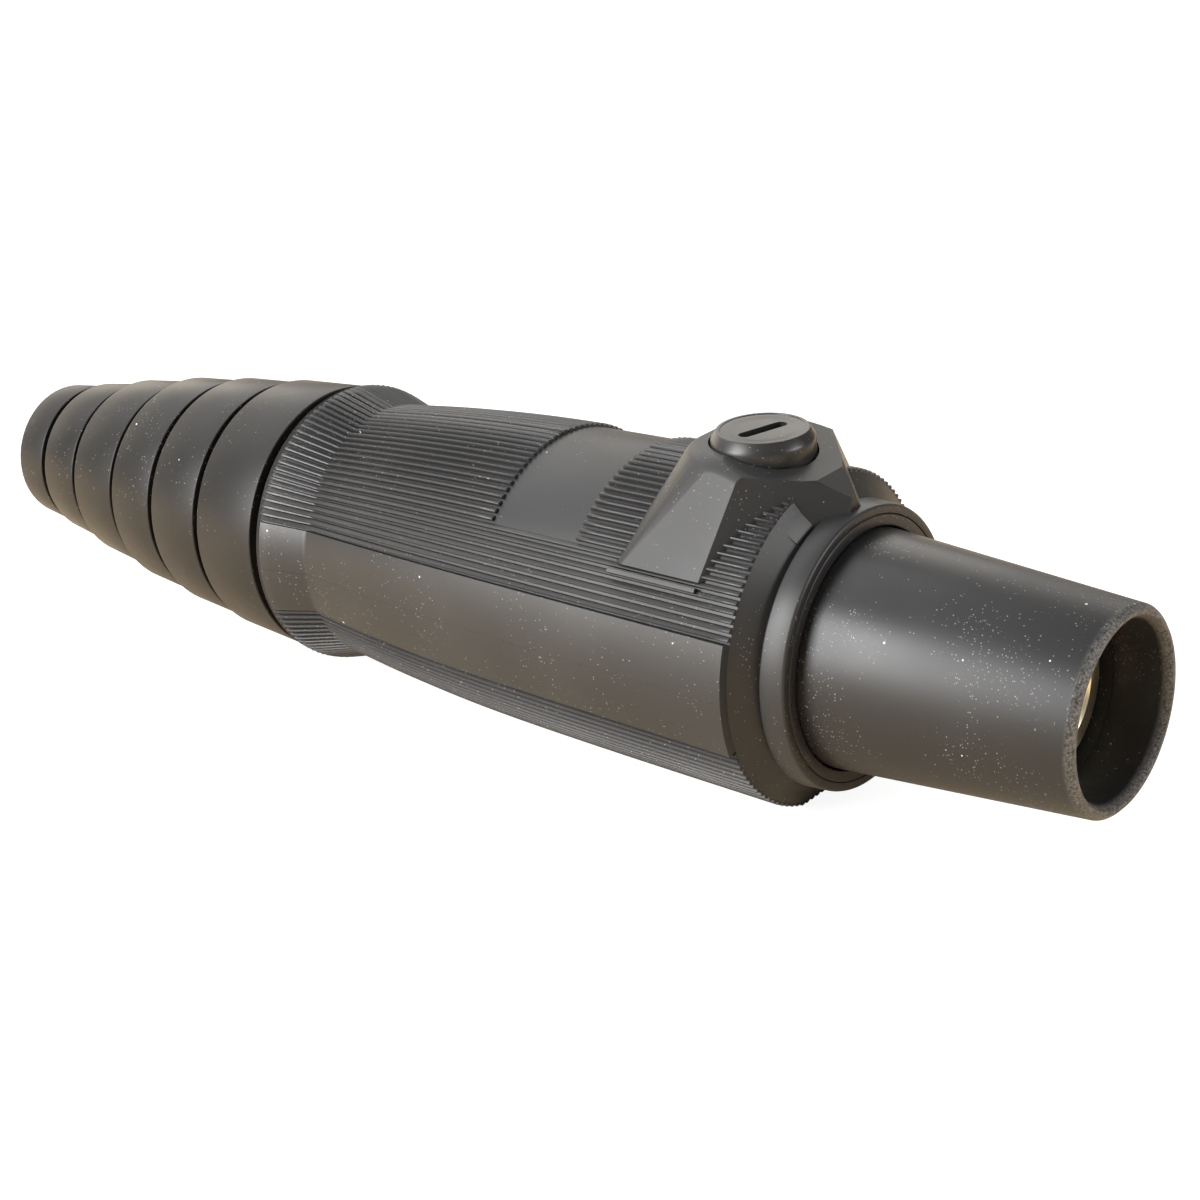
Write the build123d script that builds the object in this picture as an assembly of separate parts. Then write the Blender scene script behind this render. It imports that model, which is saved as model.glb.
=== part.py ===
from build123d import *
from math import asin, cos, degrees, radians, sin
import os

# Single-pole power plug for one heavy cable, with a socket contact in a tapered nose.
# The plug's axis runs along X and the nose points to +X. The boss with the retaining
# screw is on top, +Z. Lengths are in millimetres. While a piece is made, its places
# along the axis are distances behind the nose tip, and heights count from the axis.
# At the end every piece is moved so that the origin is under the middle of the plug,
# on the surface that it rests on.

# Clearances of the fits
slip = 0.05
seat_gap = 0.1
thread_clearance = 0.05
head_clearance = 0.3

# Nose insulator
nose_tip_radius = 16.0
nose_base_radius = 19.0
nose_lip_chamfer = 0.8
mouth_radius = 13.6
mouth_chamfer = 0.9
mouth_depth = 9.3
undercut_radius = 14.3
undercut_end = 22.0
nose_shoulder = 54.0
nose_barrel_radius = 17.5
nose_end = 78.0

# Contact, turned from one bar
contact_face = 10.4
contact_radius = 12.4
contact_face_chamfer = 1.2
socket_radius = 8.0
socket_chamfer = 0.8
socket_guide_end = 41.6
socket_relief_radius = 8.3
socket_end = 56.0
cup_radius = 11.8
cup_start = 70.0
cup_bore_radius = 7.2
cup_bore_depth = 46.0
contact_end = 118.0

# Locking pin in the wall of the socket
locking_pin_place = 44.0
locking_pin_radius = 2.0
locking_pin_reach = 5.2
locking_pin_recess = 0.4

# Clamping screws of the cable cup
set_screw_places = {"set_screw_front": 88.0, "set_screw_rear": 104.0}
set_screw_radius = 4.95
set_screw_length = 5.6
set_screw_key = 4.8
set_screw_key_depth = 3.0

# Collar at the front of the housing, and the seal ring in it
collar_face = 43.8
collar_length = 4.2
collar_front_radius = 22.66
collar_rear_radius = 22.96
collar_groove_radius = 21.9
collar_groove_width = 0.6
seal_outer_radius = 21.2
seal_bore_gap = 0.25
seal_length = 6.0
seal_edge = 0.4

# Skin of the housing: the crest line of its ribs, from the front edge to the rear flange
body_front = 51.4
body_front_radius = 27.04
body_middle = 88.0
body_middle_radius = 26.5
body_shoulder = 112.0
body_shoulder_radius = 25.75
body_hollow = 130.0
body_hollow_radius = 24.45
waist = 144.8
waist_radius = 22.85
flange_shoulder = 152.4
flange_shoulder_radius = 25.0
housing_end = 154.9
flange_radius = 25.2
flange_rim = 1.0

# Ribs, the plain bands on both sides, and the bare pad on top
rib_pitch_angle = 3.0
rib_width = 0.85
rib_depth = 0.7
band_half_angle = 19.4
band_height = 0.8
pad_front = 84.3
pad_rear = 102.2
pad_half_angle = 49.6
rest_height = 25.8

# Boss of the retaining screw
boss_top = 31.2
boss_foot = 16.0
boss_top_half_width = 11.5
boss_foot_half_width = 21.76
boss_top_tip = 48.0
boss_top_corner = 57.6
boss_top_rear = 72.6
boss_foot_tip = 41.0
boss_foot_corner = 59.1
boss_foot_rear = 76.0
boss_top_round = 10.7
boss_foot_round = 2.5
boss_roof_start = 62.4
boss_roof_middle = (53.84, 29.3)
boss_roof_end = (45.4, 24.8)
boss_shoulder_half_width = 7.2
boss_shoulder_drop = 2.2
tab_inner_angle = 14.0
tab_outer_angle = 27.5
tab_height = 0.35

# Inside of the housing
cavity_radius = 14.5
spigot_radius = 19.0
spigot_start = 131.0

# Retaining screw and its seal
screw_place = 61.9
screw_top = 33.06
screw_top_radius = 7.2
screw_head_radius = 8.2
screw_bevel = 1.5
screw_head_height = 4.0
screw_shank_radius = 4.95
screw_tip = 6.6
screw_hole_end = 6.0
screw_slot_length = 8.3
screw_slot_width = 1.4
screw_slot_depth = 2.4
screw_slot_angle = 73.0
screw_dish_radius = 4.9
screw_dish_depth = 0.35
washer_thickness = 1.0
washer_radius = 7.9

# Cable boot: rear edge, radius and bore of each trim ring, from the housing to the free end
ring_rears = [172.2, 186.7, 200.2, 214.5, 226.7, 236.7]
ring_radii = [23.36, 21.68, 19.84, 17.3, 14.85, 13.15]
ring_bores = [13.5, 12.4, 11.2, 9.65, 8.9, 7.62]
ring_draft = 0.25
ring_edge = 0.35
ring_slit = 1.75
flange_slit = 2.2
slit_depth = 2.6
boot_throat_radius = 14.5

plug_length = ring_rears[-1]
rest_shift = Pos(plug_length / 2, 0, rest_height)


def turned(points):
    """Solid of revolution about the axis from points (distance behind the tip, radius)."""
    outline = Polyline(*[(-back, 0, radius) for back, radius in points], close=True)
    return revolve(make_face(outline), axis=Axis.X)


def bar(start, end, radius):
    """Round bar along the axis between two distances behind the tip."""
    return Pos(-(start + end) / 2, 0, 0) * Rot(0, 90, 0) * Cylinder(radius, end - start)


def upright(place, low, high, radius):
    """Round bar parallel to Z over one place of the axis, between two heights."""
    return Pos(-place, 0, (low + high) / 2) * Cylinder(radius, high - low)


def sector(start, end, low_angle, high_angle, reach=40.0):
    """Wedge about the axis between two angles, counted from +Z towards -Y."""
    middle = (low_angle + high_angle) / 2
    corners = [(0, 0)]
    for angle in (low_angle, middle, high_angle):
        corners.append((-reach * sin(radians(angle)), reach * cos(radians(angle))))
    outline = Polyline(*[(-start, y, z) for y, z in corners], close=True)
    return extrude(make_face(outline), amount=end - start, dir=(-1, 0, 0))


def make_nose():
    outside = [
        (0, nose_tip_radius - nose_lip_chamfer),
        (nose_lip_chamfer, nose_tip_radius),
        (collar_face, nose_base_radius),
        (nose_shoulder, nose_base_radius),
        (nose_shoulder, nose_barrel_radius),
        (nose_end, nose_barrel_radius),
    ]
    inside = [
        (nose_end, contact_radius + slip),
        (undercut_end, contact_radius + slip),
        (undercut_end, undercut_radius),
        (mouth_depth, undercut_radius),
        (mouth_depth, mouth_radius),
        (mouth_chamfer, mouth_radius),
        (0, mouth_radius + mouth_chamfer),
    ]
    screw_hole = upright(screw_place, 0, nose_base_radius + 1, screw_shank_radius + thread_clearance)
    return turned(outside + inside) - screw_hole


def make_contact():
    outside = [
        (contact_face, contact_radius - contact_face_chamfer),
        (contact_face + contact_face_chamfer, contact_radius),
        (cup_start, contact_radius),
        (cup_start + contact_radius - cup_radius, cup_radius),
        (contact_end, cup_radius),
    ]
    cup_bottom = contact_end - cup_bore_depth
    inside = [
        (contact_end, cup_bore_radius),
        (cup_bottom, cup_bore_radius),
        (cup_bottom, 0),
        (socket_end, 0),
        (socket_end, socket_relief_radius),
        (socket_guide_end, socket_relief_radius),
        (socket_guide_end, socket_radius),
        (contact_face + socket_chamfer, socket_radius),
        (contact_face, socket_radius + socket_chamfer),
    ]
    body = turned(outside + inside)
    body -= upright(screw_place, screw_hole_end, contact_radius + 1, screw_shank_radius + thread_clearance)
    body -= upright(locking_pin_place, -contact_radius - 1, 0, locking_pin_radius + slip)
    for place in set_screw_places.values():
        body -= upright(place, 0, cup_radius + 1, set_screw_radius + thread_clearance)
    return body


def make_locking_pin():
    pin = upright(locking_pin_place, locking_pin_recess - contact_radius, -locking_pin_reach, locking_pin_radius)
    return chamfer(pin.edges().filter_by(GeomType.CIRCLE), locking_pin_recess)


def make_set_screw(place):
    low = cup_bore_radius + seat_gap
    high = low + set_screw_length
    screw = upright(place, low, high, set_screw_radius)
    key = RegularPolygon(set_screw_key / 2, 6, major_radius=False)
    return screw - extrude(Pos(-place, 0, high) * key, amount=-set_screw_key_depth)


def make_front_seal():
    bore = nose_base_radius + seal_bore_gap
    rear = collar_face + seal_length
    outer = seal_outer_radius - slip
    return turned([
        (collar_face, bore + seal_edge),
        (collar_face, outer - seal_edge),
        (collar_face + seal_edge, outer),
        (rear, outer),
        (rear, bore),
        (collar_face + seal_edge, bore),
    ])


def skin_face(lift_front, lift_rear):
    """Half section under the crest line of the ribs, with the line lifted at both ends."""
    def lifted(back, radius):
        share = (back - body_front) / (waist - body_front)
        return (-back, 0, radius + lift_front + (lift_rear - lift_front) * min(share, 1))

    swell = Spline(
        lifted(body_front, body_front_radius),
        lifted(body_middle, body_middle_radius),
        lifted(body_shoulder, body_shoulder_radius),
        lifted(body_hollow, body_hollow_radius),
        lifted(waist, waist_radius),
    )
    rear = Polyline(
        swell @ 1,
        lifted(flange_shoulder, flange_shoulder_radius),
        lifted(housing_end - flange_rim, flange_radius),
        (-(housing_end - flange_rim), 0, 0),
        (-body_front, 0, 0),
        swell @ 0,
    )
    return make_face([swell, *rear.edges()])


def rib_angles():
    """Angles of the ribs from the top, to one side, in one ribbed arc."""
    half_rib = degrees(asin(rib_width / 2 / waist_radius))
    count = int((90 - band_half_angle - half_rib) / rib_pitch_angle)
    return [rib_pitch_angle * step for step in range(-count, count + 1)]


def make_ribs():
    """Radial ribs over the top and under the bottom, trimmed to the crest line."""
    inner = waist_radius - 2 * rib_depth
    outer = body_front_radius + band_height
    corners = []
    for middle in (0, 180):
        for angle in rib_angles():
            turn = radians(middle + angle)
            for across, out in ((-1, inner), (-1, outer), (1, outer), (1, inner)):
                side = across * rib_width / 2
                y = side * cos(turn) + out * sin(turn)
                z = out * cos(turn) - side * sin(turn)
                corners.append((-body_front, y, z))
    comb = extrude(make_face(Polyline(*corners, close=True)), amount=housing_end - body_front, dir=(-1, 0, 0))
    ribs = comb & revolve(skin_face(0, 0), axis=Axis.X)
    ribs -= sector(pad_front, pad_rear, -pad_half_angle, pad_half_angle)
    below = Pos(-(body_front + housing_end) / 2, 0, -rest_height - 10)
    return ribs - below * Box(housing_end, 2 * body_front_radius, 20)


def make_core():
    """Housing under the ribs, with the front cone, the collar and the rear rim."""
    core = revolve(skin_face(-rib_depth, -rib_depth), axis=Axis.X)
    collar_rear = collar_face + collar_length
    front = turned([
        (collar_face, 0),
        (collar_face, collar_front_radius),
        (collar_rear, collar_rear_radius),
        (collar_rear, collar_groove_radius),
        (collar_rear + collar_groove_width, collar_groove_radius),
        (body_front, body_front_radius - rib_depth),
        (body_front, 0),
    ])
    rim = bar(housing_end - flange_rim, housing_end, flange_radius - rib_depth / 2)
    low = rest_height - rib_depth
    below = Pos(-(collar_face + housing_end) / 2, 0, -low - 10)
    return core + front + rim - below * Box(housing_end, 2 * body_front_radius, 20)


def make_band(middle):
    """Plain band along one side, a little proud of the ribs at the front."""
    skin = revolve(skin_face(band_height, 0), axis=Axis.X)
    return skin & sector(body_front, housing_end, middle - band_half_angle, middle + band_half_angle)


def make_boss():
    """Boss round the screw, with a pointed front, flared flanks and a roof that falls to the collar."""
    def plan(tip, corner, rear, half_width, rear_round):
        points = [(tip, 0), (corner, half_width), (rear, half_width), (rear, -half_width), (corner, -half_width)]
        outline = make_face(Polyline(*[(-back, y) for back, y in points], close=True))
        return fillet(outline.vertices().sort_by(Axis.X)[:2], rear_round)

    foot = plan(boss_foot_tip, boss_foot_corner, boss_foot_rear, boss_foot_half_width, boss_foot_round)
    top = plan(boss_top_tip, boss_top_corner, boss_top_rear, boss_top_half_width, boss_top_round)
    block = loft([Pos(0, 0, boss_foot) * foot, Pos(0, 0, boss_top) * top], ruled=True)
    roof = ThreePointArc(
        (-boss_roof_start, 0, boss_top),
        (-boss_roof_middle[0], 0, boss_roof_middle[1]),
        (-boss_roof_end[0], 0, boss_roof_end[1]),
    )
    wall = Polyline(
        roof @ 1,
        (-boss_roof_end[0], 0, 0),
        (-boss_foot_rear, 0, 0),
        (-boss_foot_rear, 0, boss_top),
        roof @ 0,
    )
    side_view = extrude(make_face([roof, *wall.edges()]), amount=boss_foot_half_width, both=True)
    shoulder_low = boss_top - boss_shoulder_drop
    front_view = Polyline(
        (-boss_foot_rear, -boss_foot_half_width, 0),
        (-boss_foot_rear, -boss_foot_half_width, shoulder_low),
        (-boss_foot_rear, -boss_top_half_width - 1, shoulder_low),
        (-boss_foot_rear, -boss_shoulder_half_width, boss_top),
        (-boss_foot_rear, boss_shoulder_half_width, boss_top),
        (-boss_foot_rear, boss_top_half_width + 1, shoulder_low),
        (-boss_foot_rear, boss_foot_half_width, shoulder_low),
        (-boss_foot_rear, boss_foot_half_width, 0),
        close=True,
    )
    roof_slopes = extrude(make_face(front_view), amount=boss_foot_rear - collar_face, dir=(1, 0, 0))
    return block & side_view & roof_slopes


def make_tab(side):
    """Small raised pad on the front cone, beside the tip of the boss."""
    collar_rear = collar_face + collar_length
    cone = turned([
        (collar_rear + collar_groove_width, collar_groove_radius + tab_height),
        (body_front, body_front_radius - rib_depth + tab_height),
        (body_front, waist_radius / 2),
        (collar_rear + collar_groove_width, waist_radius / 2),
    ])
    angles = sorted((side * tab_inner_angle, side * tab_outer_angle))
    return cone & sector(collar_face, body_front, angles[0], angles[1])


def make_housing():
    housing = make_core() + make_ribs()
    housing += [make_band(90), make_band(-90), make_boss(), make_tab(1), make_tab(-1)]
    seal_rear = collar_face + seal_length
    housing -= turned([
        (0, 0),
        (0, seal_outer_radius),
        (seal_rear, seal_outer_radius),
        (seal_rear, nose_base_radius + slip),
        (nose_shoulder + seat_gap, nose_base_radius + slip),
        (nose_shoulder + seat_gap, nose_barrel_radius + slip),
        (nose_end + seat_gap, nose_barrel_radius + slip),
        (nose_end + seat_gap, cavity_radius),
        (spigot_start - seat_gap, cavity_radius),
        (spigot_start - seat_gap, spigot_radius + slip),
        (housing_end + 1, spigot_radius + slip),
        (housing_end + 1, 0),
    ])
    well_floor = screw_top - screw_head_height - washer_thickness - seat_gap
    housing -= upright(screw_place, well_floor, screw_top, screw_head_radius + head_clearance)
    return housing - upright(screw_place, 0, screw_top, screw_shank_radius + thread_clearance)


def make_retaining_screw():
    underside = screw_top - screw_head_height
    profile = Polyline(
        (0, 0, screw_top),
        (screw_top_radius, 0, screw_top),
        (screw_head_radius, 0, screw_top - screw_bevel),
        (screw_head_radius, 0, underside),
        (screw_shank_radius, 0, underside),
        (screw_shank_radius, 0, screw_tip + 1),
        (screw_shank_radius - 1, 0, screw_tip),
        (0, 0, screw_tip),
        close=True,
    )
    screw = Pos(-screw_place, 0, 0) * revolve(make_face(profile), axis=Axis.Z)
    screw -= upright(screw_place, screw_top - screw_dish_depth, screw_top + 1, screw_dish_radius)
    blade = Box(screw_slot_length, screw_slot_width, screw_slot_depth)
    middle = screw_top - screw_dish_depth - screw_slot_depth / 2
    return screw - Pos(-screw_place, 0, middle) * Rot(0, 0, screw_slot_angle) * blade


def make_screw_seal():
    high = screw_top - screw_head_height
    ring = upright(screw_place, high - washer_thickness, high, washer_radius)
    return ring - upright(screw_place, 0, screw_top, screw_shank_radius + thread_clearance)


def make_boot():
    """Stepped boot: rings with thin slits between them, and a spigot in the housing."""
    outside = [(spigot_start, boot_throat_radius), (spigot_start, spigot_radius)]
    front = housing_end + flange_slit
    valley = spigot_radius
    for rear, radius in zip(ring_rears, ring_radii):
        outside += [
            (front, valley),
            (front, radius + ring_draft - ring_edge),
            (front + ring_edge, radius + ring_draft),
            (rear - ring_edge, radius),
            (rear, radius - ring_edge),
        ]
        valley = radius - slit_depth
        if rear != plug_length:
            outside.append((rear, valley))
        front = rear + ring_slit
    start = housing_end + flange_slit
    steps = [(spigot_start, boot_throat_radius), (start, boot_throat_radius)]
    for rear, bore in zip(ring_rears, ring_bores):
        steps += [(start, bore), (rear, bore)]
        start = rear
    inside = steps[:0:-1]
    return turned(outside + inside)


pieces = {
    "nose_insulator": make_nose(),
    "contact": make_contact(),
    "locking_pin": make_locking_pin(),
    "front_seal": make_front_seal(),
    "housing": make_housing(),
    "cable_boot": make_boot(),
    "retaining_screw": make_retaining_screw(),
    "screw_seal": make_screw_seal(),
}
for name, place in set_screw_places.items():
    pieces[name] = make_set_screw(place)

os.makedirs("parts", exist_ok=True)
for name, piece in pieces.items():
    export_step(rest_shift * piece, f"parts/{name}.step")
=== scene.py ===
from math import asin, atan2, cos, hypot, inf, pi, radians, sin

import bmesh
import bpy
from bpy.props import FloatProperty, FloatVectorProperty, PointerProperty
from bpy.types import Operator, Panel, PropertyGroup
from mathutils import Euler, Matrix, Vector


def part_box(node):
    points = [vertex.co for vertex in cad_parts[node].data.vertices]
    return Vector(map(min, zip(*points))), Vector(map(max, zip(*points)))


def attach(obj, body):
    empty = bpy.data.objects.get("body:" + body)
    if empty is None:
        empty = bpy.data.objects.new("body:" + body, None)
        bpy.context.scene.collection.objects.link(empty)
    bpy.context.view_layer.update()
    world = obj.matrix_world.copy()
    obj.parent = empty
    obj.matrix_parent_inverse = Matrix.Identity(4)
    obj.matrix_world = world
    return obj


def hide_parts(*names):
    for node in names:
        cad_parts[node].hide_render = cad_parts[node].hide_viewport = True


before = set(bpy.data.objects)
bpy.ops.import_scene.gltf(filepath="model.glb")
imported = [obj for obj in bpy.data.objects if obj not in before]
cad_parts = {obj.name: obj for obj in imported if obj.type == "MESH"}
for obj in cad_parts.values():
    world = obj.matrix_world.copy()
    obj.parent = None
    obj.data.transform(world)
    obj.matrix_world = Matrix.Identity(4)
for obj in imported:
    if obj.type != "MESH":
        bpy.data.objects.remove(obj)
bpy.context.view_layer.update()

bl_info = {
    "name": "Single-pole power plug",
    "version": (1, 0, 0),
    "blender": (4, 5, 0),
    "location": "3D View > Sidebar > Power Plug",
    "description": "Builds the looks of a single-pole power plug on its packed frame",
    "category": "Object",
}

MM = 0.001
ROUND_STEPS = 224
SCREW_STEPS = 128
WELL_STEPS = 96
SHARP_ANGLE = radians(38)
HAIR = 0.001 * MM

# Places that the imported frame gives
nose_low, nose_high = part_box("nose_insulator")
housing_low, housing_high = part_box("housing")
boot_low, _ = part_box("cable_boot")
screw_low, screw_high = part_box("retaining_screw")
tip_x = nose_high.x
axis_z = (nose_low.z + nose_high.z) / 2
screw_x = (screw_low.x + screw_high.x) / 2
plug_length = tip_x - boot_low.x
collar_face = tip_x - housing_high.x
housing_end = tip_x - housing_low.x
nose_end = tip_x - nose_low.x
nose_base_radius = (nose_high.z - nose_low.z) / 2
screw_head_radius = (screw_high.x - screw_low.x) / 2


def length(name, description, millimetres):
    """A size in metres, given in millimetres."""
    return FloatProperty(
        name=name, description=description, default=millimetres * MM, unit="LENGTH", precision=5
    )


def lengths(name, description, *millimetres):
    """A row of sizes in metres, given in millimetres."""
    return FloatVectorProperty(
        name=name, description=description, size=len(millimetres), unit="LENGTH",
        default=tuple(value * MM for value in millimetres)
    )


def turn(name, description, angle):
    """An angle, given in degrees."""
    return FloatProperty(name=name, description=description, default=radians(angle), subtype="ANGLE")


def colour(name, description, red, green, blue):
    """A linear colour."""
    return FloatVectorProperty(
        name=name, description=description, default=(red, green, blue), subtype="COLOR", size=3, min=0, max=1
    )


def share(name, description, default):
    """A part of one."""
    return FloatProperty(name=name, description=description, default=default, min=0, max=1, subtype="FACTOR")


def power(name, description, watts):
    """The power of a lamp."""
    return FloatProperty(name=name, description=description, default=watts, min=0, unit="POWER")


class NoseSizes(PropertyGroup):
    tip_radius: length("Tip radius", "Outside radius at the nose tip", 16.0)
    lip_round: length("Lip round", "Rounding of the outer lip", 0.8)
    lip_step: length("Lip step", "Height of the fine step on the lip", 0.12)
    mouth_radius: length("Mouth radius", "Radius of the mouth", 13.6)
    mouth_slope: length("Mouth slope", "Width of the slope at the mouth's edge", 0.9)
    mouth_edge: length("Mouth edge", "Depth of the slope at the mouth's edge", 1.4)
    mouth_depth: length("Mouth depth", "Where the mouth widens", 9.3)
    undercut_radius: length("Undercut radius", "Radius behind the mouth", 14.3)
    undercut_end: length("Undercut end", "Where the undercut ends, behind the tip", 22.0)
    bore_radius: length("Bore radius", "Bore that holds the contact", 12.45)
    shoulder: length("Shoulder", "Where the nose steps in, inside the housing", 54.0)
    barrel_radius: length("Barrel radius", "Radius behind the shoulder", 17.5)


class HousingSizes(PropertyGroup):
    collar_length: length("Collar length", "Length of the collar", 4.2)
    collar_front_radius: length("Collar front radius", "Collar radius at its face", 22.66)
    collar_rear_radius: length("Collar rear radius", "Collar radius at its rear", 22.96)
    groove_radius: length("Groove radius", "Radius in the groove behind the collar", 21.9)
    groove_width: length("Groove width", "Width of the groove behind the collar", 0.6)
    seal_radius: length("Seal radius", "Outside radius of the seal ring", 21.2)
    seal_length: length("Seal length", "Length of the seal ring", 6.0)
    seal_gap: length("Seal gap", "Gap between the seal ring and the nose", 0.25)
    body_front: length("Body front", "Front ends of the ribs, behind the tip", 51.4)
    waist: length("Waist", "Narrowest place, behind the tip", 144.8)
    crest_places: lengths(
        "Crest places", "Places of the rib crest line, behind the tip", 51.4, 88.0, 112.0, 130.0, 144.8
    )
    crest_radii: lengths(
        "Crest radii", "Radii of the rib crest line at its places", 27.04, 26.5, 25.75, 24.45, 22.85
    )
    flange_shoulder: length("Flange shoulder", "Where the flange is nearly full, behind the tip", 152.4)
    flange_shoulder_radius: length("Flange shoulder radius", "Radius of the flange at its shoulder", 25.0)
    flange_radius: length("Flange radius", "Radius of the flange at its rim", 25.2)
    flange_rim: length("Flange rim", "Width of the bare rim of the flange", 1.0)
    rib_pitch: turn("Rib pitch", "Angle from rib to rib", 3.0)
    rib_width: length("Rib width", "Width of a rib", 0.85)
    rib_depth: length("Rib depth", "Depth of the grooves", 0.7)
    rib_edge: length("Rib edge", "Rounding of a rib's low edge", 0.12)
    rib_round: length("Rib round", "Rounding of a rib's high edge, towards the side band", 0.26)
    rib_tilt: length("Rib tilt", "How much lower a rib is at its other edge", 0.3)
    band_half_angle: turn("Band half angle", "Half the width of the plain side bands", 19.4)
    band_height: length("Band height", "How far the bands stand proud at the front", 0.8)
    seam_height: length("Seam height", "Height of the moulding seam on the bands", 0.06)
    pad_front: length("Pad front", "Front of the bare pad, behind the tip", 84.3)
    pad_rear: length("Pad rear", "Rear of the bare pad, behind the tip", 102.2)
    pad_half_angle: turn("Pad half angle", "Half the width of the bare pad", 49.6)
    cavity_radius: length("Cavity radius", "Inside of the housing", 14.5)
    nose_seat_radius: length("Nose seat radius", "Seat of the nose's barrel", 17.55)
    nose_seat_depth: length("Nose seat depth", "Where that seat starts, behind the seal", 4.3)
    spigot_radius: length("Spigot radius", "Seat of the boot's spigot and of the nose's base", 19.05)
    spigot_start: length("Spigot start", "Where the boot's spigot starts, behind the tip", 130.9)


class BossSizes(PropertyGroup):
    top: length("Top", "Height of the boss above the axis", 31.2)
    foot: length("Foot", "Height of its foot above the axis", 16.0)
    top_half_width: length("Top half width", "Half its width at the top", 11.5)
    foot_half_width: length("Foot half width", "Half its width at the foot", 21.76)
    top_tip: length("Top tip", "Front tip at the top, behind the tip", 48.0)
    foot_tip: length("Foot tip", "Front tip at the foot, behind the tip", 41.0)
    corner: length("Corner", "Front corner at the foot, behind the tip", 59.1)
    top_rear: length("Top rear", "Rear at the top, behind the tip", 72.6)
    foot_rear: length("Foot rear", "Rear at the foot, behind the tip", 76.0)
    top_round: length("Top round", "Rounding of the rear corners at the top", 10.7)
    foot_round: length("Foot round", "Rounding of the rear corners at the foot", 2.5)
    flank_round: length("Flank round", "Rounding between the top and the flanks", 4.0)
    rear_edge: length("Rear edge", "Rounding of the top's rear edge", 2.2)
    edge_round: length("Edge round", "Rounding of the other edges", 0.4)
    roof_start: length("Roof start", "Where the roof starts to fall, behind the tip", 62.4)
    roof_middle: length("Roof middle", "Middle of the roof, behind the tip", 53.84)
    roof_middle_height: length("Roof middle height", "Height of the roof's middle above the axis", 29.3)
    roof_end: length("Roof end", "Front of the roof, behind the tip", 45.4)
    roof_end_height: length("Roof end height", "Height of the roof's front above the axis", 24.8)
    well_radius: length("Well radius", "Radius of the screw's well", 8.5)
    well_depth: length("Well depth", "Depth of the well under the screw's top", 5.1)
    ledge_angle: turn("Ledge angle", "Angle of the ledge under a flank, from the top", 56.4)
    ledge_width: length("Ledge width", "Width of the ledge under a flank", 0.8)
    ledge_height: length("Ledge height", "Height of the ledge over the ribs", 0.3)
    tab_start: turn("Tab start", "Angle where a tab starts, from the top", 14.0)
    tab_end: turn("Tab end", "Angle where a tab ends, from the top", 27.5)
    tab_height: length("Tab height", "Height of the tabs beside the tip", 0.35)


class ScrewSizes(PropertyGroup):
    top_radius: length("Top radius", "Radius of the top face", 7.2)
    bevel: length("Bevel", "Depth of the bevel", 1.5)
    head_height: length("Head height", "Height of the head", 4.0)
    shank_radius: length("Shank radius", "Radius of the shank", 4.95)
    dish_radius: length("Dish radius", "Radius of the dish in the top", 4.6)
    dish_depth: length("Dish depth", "Depth of the dish in the top", 0.26)
    dish_slope: length("Dish slope", "Width of the slope round the dish", 1.4)
    rim_width: length("Rim width", "Width of the rim around the top", 0.6)
    rim_height: length("Rim height", "Height of the rim around the top", 0.1)
    slot_length: length("Slot length", "Length of the slot", 8.8)
    slot_width: length("Slot width", "Width of the slot", 2.2)
    slot_depth: length("Slot depth", "Depth of the slot", 2.4)
    slot_angle: turn("Slot angle", "Angle of the slot from the plug's axis", 73.0)


class BootSizes(PropertyGroup):
    ring_rears: lengths(
        "Ring rears", "Rear edges of the rings, behind the tip", 172.2, 186.7, 200.2, 214.5, 226.7, 236.7
    )
    ring_radii: lengths(
        "Ring radii", "Radii of the rings at their rear edges", 23.36, 21.68, 19.84, 17.3, 14.85, 13.15
    )
    ring_bores: lengths("Ring bores", "Radii of the bore inside the rings", 13.5, 12.4, 11.2, 9.65, 8.9, 7.62)
    draft: share("Draft", "How far a ring's front reaches up to the ring before it", 0.58)
    edge: length("Edge", "Rounding of the ring edges", 0.28)
    ring_slit: length("Ring slit", "Width of the slits between the rings", 1.9)
    flange_slit: length("Flange slit", "Width of the slit at the housing's flange", 2.2)
    slit_depth: length("Slit depth", "Depth of the slits between the rings", 2.6)
    spigot_start: length("Spigot start", "Front of the spigot, behind the tip", 131.0)
    spigot_radius: length("Spigot radius", "Radius of the spigot", 19.0)
    throat_radius: length("Throat radius", "Bore of the spigot", 14.5)


class FinishSettings(PropertyGroup):
    housing_rubber: colour("Housing rubber", "Colour of the housing's rubber", 0.024, 0.024, 0.0245)
    boot_rubber: colour("Boot rubber", "Colour of the boot's rubber", 0.015, 0.0145, 0.014)
    nose_plastic: colour("Nose plastic", "Colour of the nose", 0.018, 0.018, 0.019)
    screw_nylon: colour("Screw nylon", "Colour of the screw", 0.02, 0.02, 0.019)
    brass: colour("Brass", "Colour of the contact", 1.0, 0.9, 0.64)
    steel: colour("Steel", "Colour of the pin and set screws", 0.5, 0.5, 0.5)
    dust: colour("Dust", "Colour of dust and chalky wear", 0.62, 0.6, 0.56)
    housing_roughness: share("Housing roughness", "Roughness of the housing's rubber", 0.42)
    nose_roughness: share("Nose roughness", "Roughness of the nose", 0.4)
    dust_amount: share("Dust amount", "Share of the dust cells that hold a speck", 0.3)


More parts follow.
